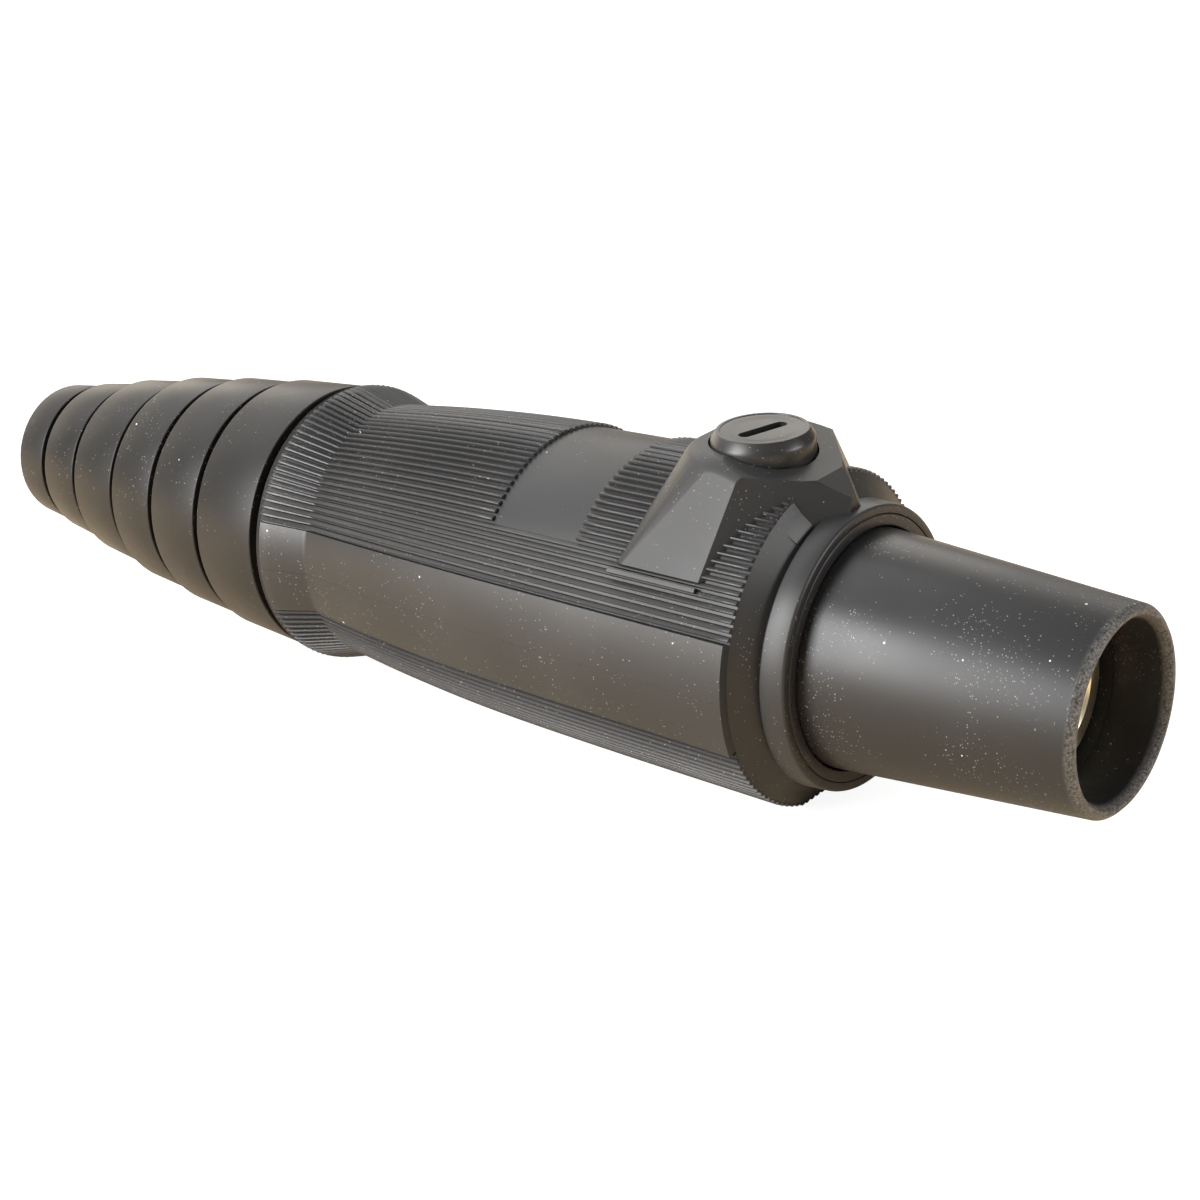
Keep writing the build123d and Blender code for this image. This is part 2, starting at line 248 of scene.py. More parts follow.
class StageSettings(PropertyGroup):
    floor: colour("Floor", "Colour of the floor, as the plug sees it", 0.88, 0.7, 0.48)
    floor_glow: share("Floor glow", "How bright the camera sees the floor in full shadow", 0.9)
    floor_shade: share("Floor shade", "How much the light and shadow on the floor add to that", 0.35)
    backdrop: colour("Backdrop", "Colour of the background", 1.0, 1.0, 1.0)
    surround: FloatProperty(name="Surround", description="Strength of the room's light", default=0.24, min=0)
    key_power: power("Key power", "Power of the large softbox", 22.5)
    top_power: power("Top power", "Power of the overhead softbox", 3.6)
    back_power: power("Back power", "Power of the rear panel", 5.0)
    side_power: power("Side power", "Power of the warm side panel", 2.5)
    front_power: power("Front power", "Power of the front softbox", 4.0)
    floor_reach: length("Floor reach", "Half the width of the floor", 6000.0)
    lens: FloatProperty(name="Lens", description="Focal length in millimetres", default=70.47, min=1)
    camera_place: FloatVectorProperty(
        name="Camera place", description="Place of the camera", size=3, subtype="TRANSLATION",
        default=(0.26021, -0.27288, 0.17865)
    )
    camera_turn: FloatVectorProperty(
        name="Camera turn", description="Rotation of the camera", size=3, subtype="EULER",
        default=(radians(66.639), radians(4.33), radians(39.421))
    )


class PlugSettings(PropertyGroup):
    nose: PointerProperty(type=NoseSizes)
    housing: PointerProperty(type=HousingSizes)
    boss: PointerProperty(type=BossSizes)
    screw: PointerProperty(type=ScrewSizes)
    boot: PointerProperty(type=BootSizes)
    finish: PointerProperty(type=FinishSettings)
    stage: PointerProperty(type=StageSettings)


# Shapes


def at(back, across, height):
    """Point of the row frame from a place behind the nose tip, a side offset and a height above the axis."""
    return Vector((tip_x - back, across, axis_z + height))


def off_top(angle):
    """An angle about the axis as the angle from the top, either way round."""
    return abs((angle + pi) % (2 * pi) - pi)


def cuboid(size):
    bm = bmesh.new()
    bmesh.ops.create_cube(bm, size=1.0)
    bmesh.ops.scale(bm, vec=size, verts=bm.verts[:])
    return bm


def move(bm, offset):
    bmesh.ops.translate(bm, vec=offset, verts=bm.verts[:])


def rotate(bm, angle, axis, centre=(0, 0, 0)):
    bmesh.ops.rotate(bm, cent=centre, matrix=Matrix.Rotation(angle, 3, axis), verts=bm.verts[:])


def round_off(bm, corners, offset, segments, affect="EDGES"):
    """Rounds edges, or the corners of a wire."""
    bmesh.ops.bevel(
        bm, geom=corners, offset=offset, offset_type="OFFSET", affect=affect,
        segments=segments, profile=0.5, material=-1, clamp_overlap=True
    )


def outline_wire(bm, outline, to_point):
    """Closed wire through corners of (first, second, rounding), with the corners rounded."""
    verts = [bm.verts.new(to_point(first, second)) for first, second, _ in outline]
    for last, vert in zip(verts[-1:] + verts, verts):
        bm.edges.new((last, vert))
    for vert, (_, _, rounding) in zip(verts, outline):
        if rounding:
            round_off(bm, [vert], rounding, 3, "VERTICES")


def lathe(outline, steps=ROUND_STEPS):
    """Spins a closed outline of (place behind the tip, radius, rounding) about the plug's axis."""
    bm = bmesh.new()
    outline_wire(bm, outline, lambda back, radius: at(back, 0, radius))
    spin_full(bm, at(0, 0, 0), (1, 0, 0), steps)
    return bm


def spin_full(bm, centre, axis, steps):
    """Spins a wire all the way round."""
    bmesh.ops.spin(
        bm, geom=bm.verts[:] + bm.edges[:], cent=centre, axis=axis, dvec=(0, 0, 0), angle=2 * pi,
        steps=steps, use_merge=True, use_normal_flip=False, use_duplicate=False
    )
    bmesh.ops.remove_doubles(bm, verts=bm.verts[:], dist=HAIR)
    bmesh.ops.recalc_face_normals(bm, faces=bm.faces[:])


def smooth_line(places, values, place):
    """Value at a place on the smooth line through given places and values."""
    last = len(places) - 1
    step = max(i for i in range(last) if places[i] <= max(place, places[0]))

    def slope(i):
        low, high = max(i - 1, 0), min(i + 1, last)
        return (values[high] - values[low]) / (places[high] - places[low])

    span = places[step + 1] - places[step]
    t = min(max((place - places[step]) / span, 0), 1)
    start, end = values[step], values[step + 1]
    lean_start, lean_end = slope(step) * span, slope(step + 1) * span
    return (
        start + lean_start * t + (3 * (end - start) - 2 * lean_start - lean_end) * t * t
        + (2 * (start - end) + lean_start + lean_end) * t ** 3
    )


def cut_away(bm, point, normal):
    """Cuts off what lies beyond a plane and closes the cut."""
    bmesh.ops.bisect_plane(
        bm, geom=bm.verts[:] + bm.edges[:] + bm.faces[:], dist=HAIR,
        plane_co=point, plane_no=normal, clear_outer=True
    )
    rim = [edge for edge in bm.edges if edge.is_boundary]
    if rim:
        bmesh.ops.holes_fill(bm, edges=rim, sides=0)


def round_between(bm, first, second, radius, count):
    """Rounds the edge between two planes, each a (point, normal), by planes that touch the rounding."""
    (point, normal), (other_point, other) = first, second
    normal, other = normal.normalized(), other.normalized()
    lean = normal.dot(other)
    reach, other_reach = normal.dot(point) - radius, other.dot(other_point) - radius
    centre = normal * (reach - lean * other_reach) + other * (other_reach - lean * reach)
    centre /= 1 - lean * lean
    for i in range(1, count + 1):
        between = normal.slerp(other, i / (count + 1))
        cut_away(bm, centre + between * radius, between)


def make_object(bm, name, material):
    """Smooth-shaded object at the origin, with sharp edges kept."""
    for face in bm.faces:
        face.smooth = True
    for edge in bm.edges:
        if len(edge.link_faces) == 2 and edge.calc_face_angle(0) > SHARP_ANGLE:
            edge.smooth = False
    mesh = bpy.data.meshes.new(name)
    bm.to_mesh(mesh)
    bm.free()
    obj = bpy.data.objects.new(name, mesh)
    bpy.context.scene.collection.objects.link(obj)
    obj.data.materials.append(material)
    return obj


def make_cut_object(whole_bm, cutter_bm, name, material):
    """Object with a cutter's shape taken out of it."""
    whole, cutter = make_object(whole_bm, name, material), make_object(cutter_bm, "cutter", material)
    cut = whole.modifiers.new("cut", "BOOLEAN")
    cut.operation = "DIFFERENCE"
    cut.solver = "EXACT"
    cut.object = cutter
    bpy.context.view_layer.update()
    result = whole.evaluated_get(bpy.context.evaluated_depsgraph_get())
    bm = bmesh.new()
    bm.from_mesh(result.to_mesh())
    result.to_mesh_clear()
    for used in (cutter, whole):
        bpy.data.objects.remove(used)
    return make_object(bm, name, material)


def dress(node, material):
    """Gives a CAD piece that stays visible its material."""
    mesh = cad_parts[node].data
    mesh.materials.clear()
    mesh.materials.append(material)


def flat_faces(obj):
    """Keeps broad faces flat where they meet small roundings."""
    obj.modifiers.new("flat faces", "WEIGHTED_NORMAL").keep_sharp = True


def settle(obj, body, node):
    """The piece moves with a body and stands for a CAD node, which it hides."""
    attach(obj, body)
    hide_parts(node)


# Materials


def empty_tree(owner):
    """Node tree of a material or a world, without its first nodes."""
    owner.use_nodes = True
    owner.node_tree.nodes.clear()
    return owner.node_tree


def put(tree, kind, inputs=None, **settings):
    """Adds a node; a socket among its inputs is linked, and any other value is set."""
    node = tree.nodes.new(kind)
    for key, value in settings.items():
        setattr(node, key, value)
    for key, value in (inputs or {}).items():
        if isinstance(value, bpy.types.NodeSocket):
            tree.links.new(value, node.inputs[key])
        else:
            node.inputs[key].default_value = value
    return node


def figure(tree, operation, first, second):
    """Result of a Math node."""
    return put(tree, "ShaderNodeMath", {0: first, 1: second}, operation=operation).outputs[0]


def times(tree, first, second):
    return figure(tree, "MULTIPLY", first, second)


def noise(tree, vector, scale, detail):
    return put(tree, "ShaderNodeTexNoise", {"Vector": vector, "Scale": scale, "Detail": detail}).outputs[0]


def ramp(tree, value, low, high):
    """Smooth clamped change of a value between low and high."""
    inputs = {0: value, 1: low, 2: high}
    return put(tree, "ShaderNodeMapRange", inputs, interpolation_type="SMOOTHSTEP").outputs[0]


def new_group(name, inputs, output):
    """Empty shader node group. Returns its tree, its inputs, Vector first, and its output."""
    tree = bpy.data.node_groups.new(name, "ShaderNodeTree")
    tree.interface.new_socket("Vector", in_out="INPUT", socket_type="NodeSocketVector")
    for label, default in inputs.items():
        socket = tree.interface.new_socket(label, in_out="INPUT", socket_type="NodeSocketFloat")
        socket.default_value = default
    tree.interface.new_socket(output, in_out="OUTPUT", socket_type="NodeSocketFloat")
    start, end = tree.nodes.new("NodeGroupInput"), tree.nodes.new("NodeGroupOutput")
    return tree, start.outputs[:len(inputs) + 1], end.inputs[0]


def grain_group():
    """Fine grain of a moulded surface, with its longer waves."""
    inputs = {"Scale": 2500.0, "Waves": 0.3}
    tree, (vector, scale, waves), height = new_group("Moulded grain", inputs, "Height")
    fine = noise(tree, vector, scale, 3.0)
    wide = noise(tree, vector, times(tree, scale, 0.07), 2.0)
    tree.links.new(figure(tree, "ADD", fine, times(tree, wide, waves)), height)
    return tree


def dust_group():
    """Specks of dust: small round cells, gathered in patches."""
    inputs = {"Scale": 900.0, "Amount": 0.3, "Size": 0.3}
    tree, (vector, scale, amount, size), mask = new_group("Dust specks", inputs, "Mask")
    cells = put(tree, "ShaderNodeTexVoronoi", {"Vector": vector, "Scale": scale})
    chance = put(tree, "ShaderNodeSeparateColor", {0: cells.outputs["Color"]})
    gathered = ramp(tree, noise(tree, vector, 60.0, 3.0), 0.38, 0.68)
    kept = figure(tree, "LESS_THAN", chance.outputs[0], times(tree, amount, gathered))
    speck = figure(tree, "LESS_THAN", cells.outputs["Distance"], times(tree, size, chance.outputs[1]))
    tree.links.new(times(tree, kept, speck), mask)
    return tree


def smudge_group():
    """Soft patches, such as handling marks and chalky bloom."""
    inputs = {"Scale": 40.0, "Low": 0.45, "High": 0.7}
    tree, (vector, scale, low, high), mask = new_group("Smudges", inputs, "Mask")
    tree.links.new(ramp(tree, noise(tree, vector, scale, 5.0), low, high), mask)
    return tree


def scuff_group():
    """Short fine scuffs that run along one direction."""
    inputs = {"Scale": 120.0, "Stretch": 0.06, "Amount": 0.3}
    tree, (vector, scale, stretch, amount), mask = new_group("Scuffs", inputs, "Mask")
    stretched = put(tree, "ShaderNodeCombineXYZ", {0: stretch, 1: 1.0, 2: 1.0}).outputs[0]
    along = put(tree, "ShaderNodeVectorMath", {0: vector, 1: stretched}, operation="MULTIPLY").outputs[0]
    level = figure(tree, "SUBTRACT", 0.95, times(tree, amount, 0.5))
    above = times(tree, figure(tree, "SUBTRACT", noise(tree, along, scale, 4.0), level), 12.0)
    tree.links.new(put(tree, "ShaderNodeClamp", {0: above}).outputs[0], mask)
    return tree


group_makers = {
    "Moulded grain": grain_group,
    "Dust specks": dust_group,
    "Smudges": smudge_group,
    "Scuffs": scuff_group,
}


def use_group(tree, name, vector, **values):
    """Output of a shared node group, which is built at its first use."""
    group = bpy.data.node_groups.get(name) or group_makers[name]()
    return put(tree, "ShaderNodeGroup", {"Vector": vector, **values}, node_tree=group).outputs[0]


def blend_colours(tree, mask, below, above):
    """Colour that changes from below to above with a mask."""
    if not isinstance(below, bpy.types.NodeSocket):
        below = (*below, 1.0)
    return put(tree, "ShaderNodeMix", {0: mask, 6: below, 7: (*above, 1.0)}, data_type="RGBA").outputs[2]


def new_material(name):
    """Material with a Principled shader. Returns it with its tree, the shader and object coordinates."""
    material = bpy.data.materials.new(name)
    tree = empty_tree(material)
    shader = tree.nodes.new("ShaderNodeBsdfPrincipled")
    output = tree.nodes.new("ShaderNodeOutputMaterial")
    tree.links.new(shader.outputs[0], output.inputs[0])
    vector = tree.nodes.new("ShaderNodeTexCoord").outputs["Object"]
    return material, tree, shader, vector


def moulded(name, base, roughness, dust, bump=0.05, lip_place=None, ior=1.5):
    """Moulded rubber or plastic with grain, smudges, scuffs and dust. At lip_place it is worn chalky."""
    finish = bpy.context.scene.power_plug.finish
    material, tree, shader, vector = new_material(name)
    bloom = use_group(tree, "Smudges", vector, Scale=45.0, Low=0.42, High=0.75)
    handled = use_group(tree, "Smudges", vector, Scale=16.0, Low=0.4, High=0.65)
    specks = use_group(tree, "Dust specks", vector, Scale=3300.0, Amount=1.8 * dust, Size=0.38)
    motes = use_group(tree, "Dust specks", vector, Scale=800.0, Amount=dust * 0.4, Size=0.17)
    lines = use_group(tree, "Scuffs", vector, Scale=420.0, Amount=0.3)
    paler = [1.55 * value + 0.004 for value in base]
    tone = blend_colours(tree, times(tree, bloom, 0.5), base, paler)
    chalk = figure(tree, "MAXIMUM", times(tree, specks, 0.36), motes)
    chalk = figure(tree, "MAXIMUM", chalk, times(tree, lines, 0.12))
    if lip_place is not None:
        along = put(tree, "ShaderNodeSeparateXYZ", {0: vector}).outputs[0]
        near = ramp(tree, along, lip_place - 1.6 * MM, lip_place - 0.3 * MM)
        rubbed = use_group(tree, "Smudges", vector, Scale=2600.0, Low=0.25, High=0.8)
        chalk = figure(tree, "MAXIMUM", chalk, times(tree, times(tree, near, rubbed), 0.34))
    tree.links.new(blend_colours(tree, chalk, tone, finish.dust), shader.inputs["Base Color"])
    rough = figure(tree, "ADD", roughness - 0.05, times(tree, handled, 0.12))
    rough = figure(tree, "ADD", rough, times(tree, chalk, 0.35))
    tree.links.new(rough, shader.inputs["Roughness"])
    height = use_group(tree, "Moulded grain", vector, Scale=2500.0, Waves=0.5)
    bumped = put(tree, "ShaderNodeBump", {"Height": height, "Distance": 0.1 * MM, "Strength": bump})
    tree.links.new(bumped.outputs[0], shader.inputs["Normal"])
    shader.inputs["IOR"].default_value = ior
    return material


def turned_metal(name, base, roughness, pitch):
    """Turned metal with fine tool rings about the plug's axis."""
    material, tree, shader, vector = new_material(name)
    centred = put(tree, "ShaderNodeMapping", {"Vector": vector, "Location": (0.0, 0.0, -axis_z)})
    rings = put(
        tree, "ShaderNodeTexWave",
        {"Vector": centred.outputs[0], "Scale": 1 / pitch, "Distortion": 0.6, "Detail": 1.0},
        wave_type="RINGS", rings_direction="X"
    )
    tarnish = use_group(tree, "Smudges", vector, Scale=180.0, Low=0.4, High=0.7)
    dull = [0.8 * value for value in base]
    tone = blend_colours(tree, times(tree, tarnish, 0.5), base, dull)
    tree.links.new(tone, shader.inputs["Base Color"])
    rough = figure(tree, "ADD", roughness, times(tree, tarnish, 0.15))
    tree.links.new(rough, shader.inputs["Roughness"])
    height = rings.outputs["Fac"]
    bumped = put(tree, "ShaderNodeBump", {"Height": height, "Distance": 0.02 * MM, "Strength": 0.15})
    tree.links.new(bumped.outputs[0], shader.inputs["Normal"])
    shader.inputs["Metallic"].default_value = 1.0
    return material


# Operators, one for each piece or group of like pieces


class PLUG_OT_nose(Operator):
    """Tapered nose insulator, with its worn lip"""
    bl_idname = "plug.nose"
    bl_label = "Nose"

    def execute(self, context):
        settings = context.scene.power_plug
        s = settings.nose
        face_outer = s.tip_radius - s.lip_round
        outline = [
            (s.lip_step, face_outer, 0.0),
            (s.lip_round, s.tip_radius, 0.35 * MM),
            (collar_face, nose_base_radius, 0.0),
            (s.shoulder, nose_base_radius, 0.2 * MM),
            (s.shoulder, s.barrel_radius, 0.2 * MM),
            (nose_end, s.barrel_radius, 0.3 * MM),
            (nose_end, s.bore_radius, 0.3 * MM),
            (s.undercut_end, s.bore_radius, 0.1 * MM),
            (s.undercut_end, s.undercut_radius, 0.1 * MM),
            (s.mouth_depth, s.undercut_radius, 0.0),
            (s.mouth_depth, s.mouth_radius, 0.15 * MM),
            (s.mouth_edge, s.mouth_radius, 0.3 * MM),
            (0.0, s.mouth_radius + s.mouth_slope, 0.12 * MM),
            (0.0, face_outer - s.lip_step, 0.05 * MM),
        ]
        bm = lathe(outline)
        finish = settings.finish
        dust = finish.dust_amount
        material = moulded("nose_satin", finish.nose_plastic, finish.nose_roughness, dust, lip_place=tip_x)
        settle(make_object(bm, "nose_shell", material), "plug_body", "nose_insulator")
        return {"FINISHED"}


class PLUG_OT_seal(Operator):
    """Rubber ring between the collar and the nose"""
    bl_idname = "plug.seal"
    bl_label = "Front seal"

    def execute(self, context):
        settings = context.scene.power_plug
        s = settings.housing
        bore = nose_base_radius + s.seal_gap
        rear = collar_face + s.seal_length
        outline = [
            (collar_face, bore, 0.3 * MM),
            (collar_face, s.seal_radius - 0.05 * MM, 0.25 * MM),
            (rear, s.seal_radius - 0.05 * MM, 0.1 * MM),
            (rear, bore, 0.1 * MM),
        ]
        bm = lathe(outline)
        material = moulded("seal_rubber", settings.finish.nose_plastic, 0.45, dust=0.06)
        settle(make_object(bm, "front_seal_ring", material), "plug_body", "front_seal")
        return {"FINISHED"}


class PLUG_OT_metal(Operator):
    """Turned finish of the contact, its locking pin and its set screws"""
    bl_idname = "plug.metal"
    bl_label = "Contact and screws"

    def execute(self, context):
        finish = context.scene.power_plug.finish
        brass = turned_metal("turned_brass", finish.brass, 0.28, 0.3 * MM)
        steel = turned_metal("plated_steel", finish.steel, 0.35, 0.5 * MM)
        metals = {"contact": brass, "locking_pin": steel, "set_screw_front": steel, "set_screw_rear": steel}
        for name, metal in metals.items():
            dress(name, metal)
        return {"FINISHED"}


class PLUG_OT_housing(Operator):
    """Ribbed rubber housing, with its collar, plain side bands, bare pad and flange"""
    bl_idname = "plug.housing"
    bl_label = "Housing"

    # Mesh columns for each rib pitch, and their places on a band, plain and at the seam, in rib pitches
    columns_per_rib = 8
    band_spots = (-0.5, -0.42, -0.3, -0.15, 0.0, 0.15, 0.3, 0.42)
    seam_spots = (-0.5, -0.3, -0.16, -0.03, 0.0, 0.03, 0.16, 0.3)

    def crest(self, s, back):
        """Radius of the rib crest line."""
        if back <= s.waist:
            return smooth_line(s.crest_places, s.crest_radii, back)
        rim_start = housing_end - s.flange_rim
        if back <= s.flange_shoulder:
            t = (back - s.waist) / (s.flange_shoulder - s.waist)
            return s.crest_radii[4] + (s.flange_shoulder_radius - s.crest_radii[4]) * t
        t = min((back - s.flange_shoulder) / (rim_start - s.flange_shoulder), 1)
        return s.flange_shoulder_radius + (s.flange_radius - s.flange_shoulder_radius) * t

    def stations(self, s):
        """Places along the body, close together where the skin steps."""
        step = 0.05 * MM
        rim_start = housing_end - s.flange_rim
        edges = [
            s.body_front, s.body_front + step, s.body_front + 4 * step,
            s.pad_front - 3 * step, s.pad_front, s.pad_front + step,
            s.pad_rear - step, s.pad_rear, s.pad_rear + 3 * step,
            s.waist - 0.5 * MM, s.waist, s.waist + 0.5 * MM,
            s.flange_shoulder - 0.8 * MM, s.flange_shoulder, s.flange_shoulder + 0.8 * MM,
            rim_start - 4 * step, rim_start - step, rim_start,
        ]
        spans = int((s.waist - s.body_front) / (3 * MM))
        even = [s.body_front + (s.waist - s.body_front) * i / spans for i in range(1, spans)]
        clear = [place for place in even if min(abs(place - edge) for edge in edges) > 0.8 * MM]
        return sorted(edges + clear)

    def profile(self, s):
        """Closed outline of the whole housing, with the crest line as its skin."""
        collar_rear = collar_face + s.collar_length
        seat = collar_face + s.seal_length
        front = [
            (collar_face, s.seal_radius, 0.15 * MM),
            (collar_face, s.collar_front_radius, 0.45 * MM),
            (collar_rear, s.collar_rear_radius, 0.25 * MM),
            (collar_rear, s.groove_radius, 0.0),
            (collar_rear + s.groove_width, s.groove_radius, 0.1 * MM),
        ]
        skin = [(back, self.crest(s, back), 0.0) for back in self.stations(s)]
        inside = [
            (housing_end, s.flange_radius - s.rib_depth / 2, 0.25 * MM),
            (housing_end, s.spigot_radius, 0.15 * MM),
            (s.spigot_start, s.spigot_radius, 0.0),
            (s.spigot_start, s.cavity_radius, 0.0),
            (nose_end + 0.1 * MM, s.cavity_radius, 0.0),
            (nose_end + 0.1 * MM, s.nose_seat_radius, 0.0),
            (seat + s.nose_seat_depth, s.nose_seat_radius, 0.0),
            (seat + s.nose_seat_depth, s.spigot_radius, 0.0),
            (seat, s.spigot_radius, 0.0),
            (seat, s.seal_radius, 0.0),
        ]
        return front + skin + inside

    def height_limit(self, s, back, on_pad):
        """How high ribs may stand over the groove floor at a place."""
        edge = s.rib_depth - s.rib_edge
        rim_start = housing_end - s.flange_rim
        inner = 0.07 * MM
        near = 0.03 * MM
        if back < s.body_front + near or back > rim_start - near:
            return 0.0
        if back < s.body_front + inner or back > rim_start - inner:
            return edge
        if on_pad:
            if s.pad_front - near < back < s.pad_rear + near:
                return 0.0 if s.pad_front + near < back < s.pad_rear - near else edge
        return inf

    def rib_point(self, s, crest, low, spot):
        """Angle from the rib's middle and height over the groove floor of one column of a rib."""
        half = s.rib_width / 2
        foot = half + 0.6 * s.rib_edge
        bend = 0.29 * s.rib_round
        shape = [
            (-foot, 0.0),
            (-half, s.rib_depth - low - s.rib_edge),
            (s.rib_edge - half, s.rib_depth - low),
            (half - s.rib_round, s.rib_depth),
            (half - bend, s.rib_depth - bend),
            (half, s.rib_depth - s.rib_round),
            (foot, 0.0),
        ]
        if spot == 0:
            return -s.rib_pitch / 2, 0.0
        across, height = shape[spot - 1]
        return asin(across / crest), height

    def shape_skin(self, s, bm):
        """Moves the spun columns and radii to the grooves, ribs, bands and the flat underside."""
        count = round(2 * pi / s.rib_pitch) * self.columns_per_rib
        column_step = 2 * pi / count
        half = self.columns_per_rib // 2
        front, rear = s.body_front - 0.01 * MM, housing_end - 0.5 * s.flange_rim
        core_limit = s.crest_radii[4] - s.rib_depth - 1 * MM
        for vert in bm.verts:
            back = tip_x - vert.co.x
            radius = hypot(vert.co.y, vert.co.z - axis_z)
            if back < front or back > rear or radius < core_limit:
                continue
            column = round(atan2(-vert.co.y, vert.co.z - axis_z) / column_step) % count
            rib, spot = divmod(column + half, self.columns_per_rib)
            middle = rib * s.rib_pitch
            crest = self.crest(s, back)
            from_side = abs(off_top(middle) - pi / 2)
            limit = self.height_limit(s, back, off_top(middle) < s.pad_half_angle)
            if from_side < s.band_half_angle:
                fade = 1 - min((back - s.body_front) / (s.waist - s.body_front), 1)
                full = s.rib_depth + s.band_height * fade
                seam = from_side < 0.4 * s.rib_pitch
                spots = self.seam_spots if seam else self.band_spots
                angle = middle + spots[spot] * s.rib_pitch
                height = full + (s.seam_height if seam and spot == half else 0)
                if spot == 0 and from_side > s.band_half_angle - s.rib_pitch:
                    outer = abs(off_top(angle) - pi / 2)
                    height = 0.0 if outer > s.band_half_angle - 0.1 * s.rib_pitch else full
            else:
                away = 1 if sin(middle) * cos(middle) > 0 else -1
                low = s.rib_tilt * min(abs(sin(2 * middle)) / sin(pi / 6), 1)
                shape_spot = spot if away > 0 else -spot % self.columns_per_rib
                side, height = self.rib_point(s, crest, low, shape_spot)
                angle = middle + side * (away if spot else 1)
            height = min(height, limit)
            radius = crest - s.rib_depth + height
            floor = axis_z - s.rib_depth + min(height, s.rib_depth)
            vert.co.y = -radius * sin(angle)
            vert.co.z = axis_z + max(radius * cos(angle), -floor)

    def execute(self, context):
        settings = context.scene.power_plug
        s = settings.housing
        bm = lathe(self.profile(s), round(2 * pi / s.rib_pitch) * self.columns_per_rib)
        self.shape_skin(s, bm)
        bmesh.ops.recalc_face_normals(bm, faces=bm.faces[:])
        ring = tip_x - s.body_front
        for edge in bm.edges:
            if all(abs(vert.co.x - ring) < 0.01 * MM for vert in edge.verts):
                edge.smooth = False
        finish = settings.finish
        dust = 0.3 * finish.dust_amount
        material = moulded("housing_satin", finish.housing_rubber, finish.housing_roughness, dust)
        settle(make_object(bm, "housing_skin", material), "plug_body", "housing")
        return {"FINISHED"}


